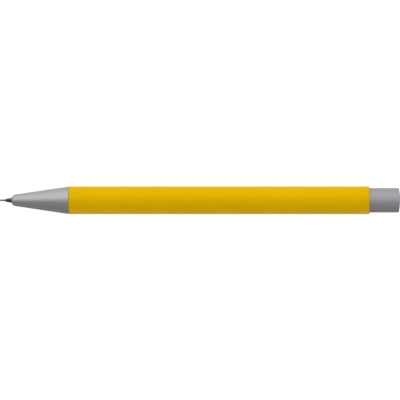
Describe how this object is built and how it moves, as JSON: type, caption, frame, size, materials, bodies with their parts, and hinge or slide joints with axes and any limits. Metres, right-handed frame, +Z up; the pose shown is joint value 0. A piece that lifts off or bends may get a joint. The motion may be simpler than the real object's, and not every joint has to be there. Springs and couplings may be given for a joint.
{
  "type": "mechanical pencil",
  "caption": "Push-button mechanical pencil for fine lead: plain round tube barrel, conical screw-off nose with a metal tip, and a round button that covers an eraser.",
  "frame": {"origin": "on the pencil's axis, halfway along the barrel tube", "axes": "+X along the pencil's axis towards the button, so the writing tip points to -X; +Z up when it lies flat"},
  "size_m": [0.1364, 0.0094, 0.0094],
  "materials": {
    "barrel_paint": "satin yellow enamel",
    "bush_plastic": "moulded dark grey",
    "chuck_brass": "turned brass",
    "spring_steel": "drawn wire",
    "nose_metal": "satin silver-grey",
    "tip_metal": "polished",
    "retainer_rubber": "soft black",
    "tube_plastic": "natural white",
    "lead_graphite": "dark graphite",
    "ferrule_metal": "drawn, bright",
    "eraser_rubber": "soft white",
    "button_metal": "satin silver-grey"
  },
  "bodies": {
    "barrel_body": {"barrel": "barrel_paint", "front_bush": "bush_plastic", "guide_bush": "bush_plastic", "spring_housing": "chuck_brass", "return_spring": "spring_steel"},
    "pusher": {"collet_stem": "chuck_brass", "collet_connector": "tube_plastic", "reservoir_tube": "tube_plastic", "spare_lead_1": "lead_graphite", "spare_lead_2": "lead_graphite", "spare_lead_3": "lead_graphite"},
    "jaw_1": {"collet_jaw_1": "chuck_brass"},
    "jaw_2": {"collet_jaw_2": "chuck_brass"},
    "jaw_3": {"collet_jaw_3": "chuck_brass"},
    "clutch": {"clutch_ring": "chuck_brass"},
    "lead": {"writing_lead": "lead_graphite"},
    "tip": {"metal_tip": "tip_metal", "lead_retainer": "retainer_rubber"},
    "nose": {"nose_cone": "nose_metal"},
    "cap": {"push_button": "button_metal"},
    "eraser_body": {"eraser_ferrule": "ferrule_metal", "eraser": "eraser_rubber"}
  },
  "joints": [
    {"name": "button_press", "type": "slide", "parent": "barrel_body", "child": "pusher", "axis": [-1, 0, 0], "range_m": [0, 0.003], "stiffness_N_per_m": 600, "springref_m": -0.001, "deforming": ["return_spring"]},
    {"name": "clutch_slide", "type": "slide", "parent": "barrel_body", "child": "clutch", "axis": [-1, 0, 0], "range_m": [0, 0.0009]},
    {"name": "jaw_1_open", "type": "hinge", "parent": "pusher", "child": "jaw_1", "pos_m": [-0.05433, 0, -0.0009], "axis": [0, -1, 0], "range_deg": [0, 1.5]},
    {"name": "jaw_2_open", "type": "hinge", "parent": "pusher", "child": "jaw_2", "pos_m": [-0.05433, 0.00078, 0.00045], "axis": [0, 0.5, -0.866], "range_deg": [0, 1.5]},
    {"name": "jaw_3_open", "type": "hinge", "parent": "pusher", "child": "jaw_3", "pos_m": [-0.05433, -0.00078, 0.00045], "axis": [0, 0.5, 0.866], "range_deg": [0, 1.5]},
    {"name": "lead_feed", "type": "slide", "parent": "clutch", "child": "lead", "axis": [-1, 0, 0], "range_m": [-0.0018, 0.006]},
    {"name": "nose_draw", "type": "slide", "parent": "barrel_body", "child": "tip", "axis": [-1, 0, 0], "range_m": [0, 0.006]},
    {"name": "nose_spin", "type": "hinge", "parent": "tip", "child": "nose", "pos_m": [-0.0513, 0, 0], "axis": [-1, 0, 0], "range_deg": [0, 2160]},
    {"name": "cap_pull", "type": "slide", "parent": "pusher", "child": "cap", "axis": [1, 0, 0], "range_m": [0, 0.02]},
    {"name": "eraser_pull", "type": "slide", "parent": "pusher", "child": "eraser_body", "axis": [1, 0, 0], "range_m": [0, 0.008]}
  ],
  "couplings": [
    {"joint": "clutch_slide", "follows": "button_press", "ratio": 0.3},
    {"joint": "jaw_1_open", "follows": "button_press", "rad_per_m": 8.7266},
    {"joint": "jaw_2_open", "follows": "button_press", "rad_per_m": 8.7266},
    {"joint": "jaw_3_open", "follows": "button_press", "rad_per_m": 8.7266},
    {"joint": "nose_spin", "follows": "nose_draw", "rad_per_m": 6283.2},
    {"joint": "eraser_pull", "follows": "cap_pull", "ratio": 0.4}
  ]
}
